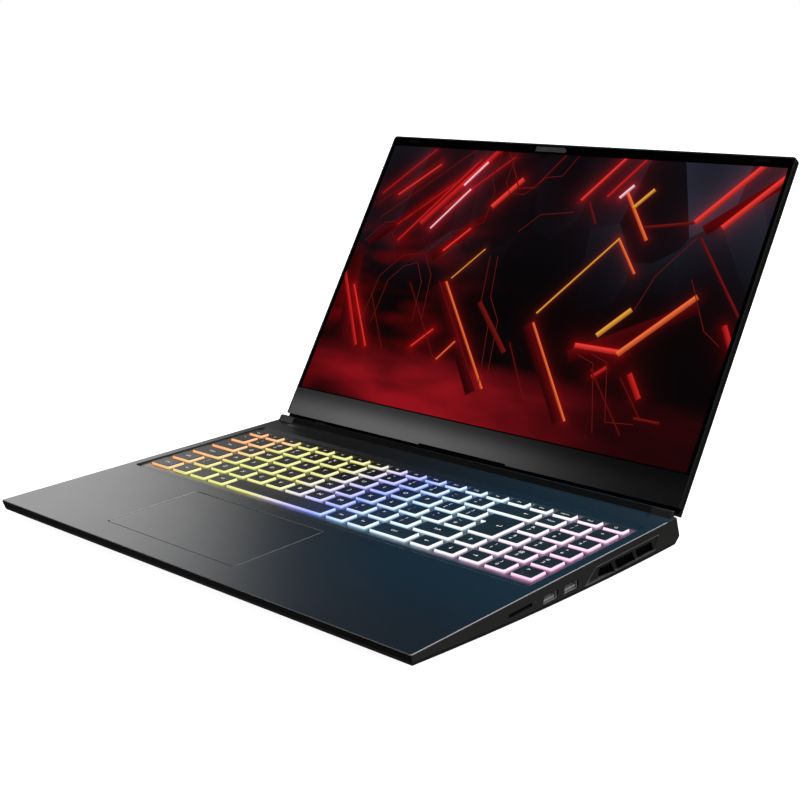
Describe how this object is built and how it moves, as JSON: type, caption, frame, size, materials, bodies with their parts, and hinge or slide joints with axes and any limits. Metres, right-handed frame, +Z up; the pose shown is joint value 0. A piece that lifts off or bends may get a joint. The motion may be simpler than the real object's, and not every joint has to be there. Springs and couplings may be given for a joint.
{
  "type": "laptop computer",
  "caption": "Open laptop computer: wedge base with lit keyboard, offset touchpad, side sockets and vents, and a wide hinged screen.",
  "frame": {"origin": "centre of the overall box, at the floor under the feet", "axes": "+X to the right, +Y from the front edge towards the hinge and screen, +Z up; the deck tilts forward with its feet on the floor"},
  "size_m": [0.3614, 0.3944, 0.2454],
  "materials": {
    "deck_metal": "satin dark anodised",
    "lid_metal": "satin dark anodised",
    "case_plastic": "fine matte texture",
    "bezel_plastic": "satin",
    "shutter_plastic": "satin",
    "display": "lit screen",
    "key_plastic": "matte, lit skirts",
    "touchpad_surface": "fine satin",
    "rubber": "matte",
    "steel": "satin",
    "black_steel": "black plated",
    "hinge_cap_metal": "satin dark anodised",
    "strip_plastic": "matte black",
    "socket_metal": "nickel plated",
    "socket_plastic": "moulded",
    "light_pipe": "clear",
    "circuit_board": "solder mask",
    "copper": "bare copper",
    "fin_metal": "black plated fins",
    "inner_plastic": "moulded",
    "battery_wrap": "film wrapped"
  },
  "bodies": {
    "base": {"top_case": "deck_metal", "bottom_case": "case_plastic", "case_screws": "black_steel", "keyboard_plate": "steel", "touchpad_bracket": "steel", "mainboard": "circuit_board", "memory_modules": "circuit_board", "solid_state_drive": "circuit_board", "wireless_card": "circuit_board", "heat_pipes": "copper", "fin_stacks": "fin_metal", "right_fan_housing": "inner_plastic", "left_fan_housing": "inner_plastic", "battery": "battery_wrap", "speakers": "inner_plastic", "usb_a_sockets": "socket_metal", "status_light": "light_pipe", "video_socket": "socket_metal", "card_reader": "socket_metal", "audio_jack": "socket_plastic", "usb_c_socket": "socket_metal", "power_inlet": "socket_plastic", "hinge_brackets": "black_steel", "hinge_caps": "hinge_cap_metal", "rubber_feet": "rubber"},
    "lid": {"hinge_pins": "black_steel", "hinge_leaves": "black_steel", "lid_cover": "lid_metal", "hinge_cover_strip": "strip_plastic", "screen_bezel": "bezel_plastic", "lid_bumpers": "rubber", "display_panel": "display", "webcam": "bezel_plastic", "antennas": "circuit_board"},
    "webcam_shutter": {"webcam_shutter": "shutter_plastic"},
    "touchpad": {"touchpad": "touchpad_surface"},
    "left_fan_rotor": {"left_fan_rotor": "inner_plastic"},
    "right_fan_rotor": {"right_fan_rotor": "inner_plastic"},
    "function_row_keys": {"function_row_keys": "key_plastic"},
    "number_row_keys": {"number_row_keys": "key_plastic"},
    "upper_letter_keys": {"upper_letter_keys": "key_plastic"},
    "home_letter_keys": {"home_letter_keys": "key_plastic"},
    "lower_letter_keys": {"lower_letter_keys": "key_plastic"},
    "bottom_row_keys": {"bottom_row_keys": "key_plastic"},
    "number_pad_keys": {"number_pad_keys": "key_plastic"},
    "backspace_key": {"backspace_key": "key_plastic"},
    "tab_key": {"tab_key": "key_plastic"},
    "enter_key": {"enter_key": "key_plastic"},
    "caps_lock_key": {"caps_lock_key": "key_plastic"},
    "left_shift_key": {"left_shift_key": "key_plastic"},
    "right_shift_key": {"right_shift_key": "key_plastic"},
    "left_control_key": {"left_control_key": "key_plastic"},
    "space_bar": {"space_bar": "key_plastic"},
    "arrow_up_key": {"arrow_up_key": "key_plastic"},
    "arrow_left_key": {"arrow_left_key": "key_plastic"},
    "arrow_down_key": {"arrow_down_key": "key_plastic"},
    "arrow_right_key": {"arrow_right_key": "key_plastic"},
    "power_button": {"power_button": "key_plastic"}
  },
  "joints": [
    {"name": "lid_hinge", "type": "hinge", "parent": "base", "child": "lid", "pos_m": [0, 0.06211, 0.02258], "axis": [-1, 0, 0], "range_deg": [-122.5, 17.5]},
    {"name": "left_fan_spin", "type": "hinge", "parent": "base", "child": "left_fan_rotor", "pos_m": [-0.1335, 0.00594, 0.00896], "axis": [0, -0.0428, 0.9991], "continuous": true},
    {"name": "right_fan_spin", "type": "hinge", "parent": "base", "child": "right_fan_rotor", "pos_m": [0.1335, 0.00594, 0.00896], "axis": [0, -0.0428, 0.9991], "continuous": true},
    {"name": "touchpad_press", "type": "hinge", "parent": "base", "child": "touchpad", "pos_m": [-0.03345, -0.1019, 0.01455], "axis": [1, 0, 0], "range_deg": [0, 0.35], "stiffness_Nm_per_rad": 18, "springref_deg": -0.29},
    {"name": "webcam_shutter_slide", "type": "slide", "parent": "lid", "child": "webcam_shutter", "axis": [1, 0, 0], "range_m": [0, 0.01]},
    {"name": "function_row_keys_press", "type": "slide", "parent": "base", "child": "function_row_keys", "axis": [0, -0.0428, 0.9991], "range_m": [-0.0016, 0], "stiffness_N_per_m": 6300, "springref_m": 0.0005},
    {"name": "number_row_keys_press", "type": "slide", "parent": "base", "child": "number_row_keys", "axis": [0, -0.0428, 0.9991], "range_m": [-0.0016, 0], "stiffness_N_per_m": 4550, "springref_m": 0.0005},
    {"name": "upper_letter_keys_press", "type": "slide", "parent": "base", "child": "upper_letter_keys", "axis": [0, -0.0428, 0.9991], "range_m": [-0.0016, 0], "stiffness_N_per_m": 4200, "springref_m": 0.0005},
    {"name": "home_letter_keys_press", "type": "slide", "parent": "base", "child": "home_letter_keys", "axis": [0, -0.0428, 0.9991], "range_m": [-0.0016, 0], "stiffness_N_per_m": 4200, "springref_m": 0.0005},
    {"name": "lower_letter_keys_press", "type": "slide", "parent": "base", "child": "lower_letter_keys", "axis": [0, -0.0428, 0.9991], "range_m": [-0.0016, 0], "stiffness_N_per_m": 3850, "springref_m": 0.0005},
    {"name": "bottom_row_keys_press", "type": "slide", "parent": "base", "child": "bottom_row_keys", "axis": [0, -0.0428, 0.9991], "range_m": [-0.0016, 0], "stiffness_N_per_m": 2100, "springref_m": 0.0005},
    {"name": "number_pad_keys_press", "type": "slide", "parent": "base", "child": "number_pad_keys", "axis": [0, -0.0428, 0.9991], "range_m": [-0.0016, 0], "stiffness_N_per_m": 4900, "springref_m": 0.0005},
    {"name": "backspace_key_press", "type": "slide", "parent": "base", "child": "backspace_key", "axis": [0, -0.0428, 0.9991], "range_m": [-0.0016, 0], "stiffness_N_per_m": 350, "springref_m": 0.0005},
    {"name": "tab_key_press", "type": "slide", "parent": "base", "child": "tab_key", "axis": [0, -0.0428, 0.9991], "range_m": [-0.0016, 0], "stiffness_N_per_m": 350, "springref_m": 0.0005},
    {"name": "enter_key_press", "type": "slide", "parent": "base", "child": "enter_key", "axis": [0, -0.0428, 0.9991], "range_m": [-0.0016, 0], "stiffness_N_per_m": 350, "springref_m": 0.0005},
    {"name": "caps_lock_key_press", "type": "slide", "parent": "base", "child": "caps_lock_key", "axis": [0, -0.0428, 0.9991], "range_m": [-0.0016, 0], "stiffness_N_per_m": 350, "springref_m": 0.0005},
    {"name": "left_shift_key_press", "type": "slide", "parent": "base", "child": "left_shift_key", "axis": [0, -0.0428, 0.9991], "range_m": [-0.0016, 0], "stiffness_N_per_m": 350, "springref_m": 0.0005},
    {"name": "right_shift_key_press", "type": "slide", "parent": "base", "child": "right_shift_key", "axis": [0, -0.0428, 0.9991], "range_m": [-0.0016, 0], "stiffness_N_per_m": 350, "springref_m": 0.0005},
    {"name": "left_control_key_press", "type": "slide", "parent": "base", "child": "left_control_key", "axis": [0, -0.0428, 0.9991], "range_m": [-0.0016, 0], "stiffness_N_per_m": 350, "springref_m": 0.0005},
    {"name": "space_bar_press", "type": "slide", "parent": "base", "child": "space_bar", "axis": [0, -0.0428, 0.9991], "range_m": [-0.0016, 0], "stiffness_N_per_m": 350, "springref_m": 0.0005},
    {"name": "arrow_up_key_press", "type": "slide", "parent": "base", "child": "arrow_up_key", "axis": [0, -0.0428, 0.9991], "range_m": [-0.0016, 0], "stiffness_N_per_m": 350, "springref_m": 0.0005},
    {"name": "arrow_left_key_press", "type": "slide", "parent": "base", "child": "arrow_left_key", "axis": [0, -0.0428, 0.9991], "range_m": [-0.0016, 0], "stiffness_N_per_m": 350, "springref_m": 0.0005},
    {"name": "arrow_down_key_press", "type": "slide", "parent": "base", "child": "arrow_down_key", "axis": [0, -0.0428, 0.9991], "range_m": [-0.0016, 0], "stiffness_N_per_m": 350, "springref_m": 0.0005},
    {"name": "arrow_right_key_press", "type": "slide", "parent": "base", "child": "arrow_right_key", "axis": [0, -0.0428, 0.9991], "range_m": [-0.0016, 0], "stiffness_N_per_m": 350, "springref_m": 0.0005},
    {"name": "power_button_press", "type": "slide", "parent": "base", "child": "power_button", "axis": [0, -0.0428, 0.9991], "range_m": [-0.0012, 0], "stiffness_N_per_m": 350, "springref_m": 0.0005}
  ]
}
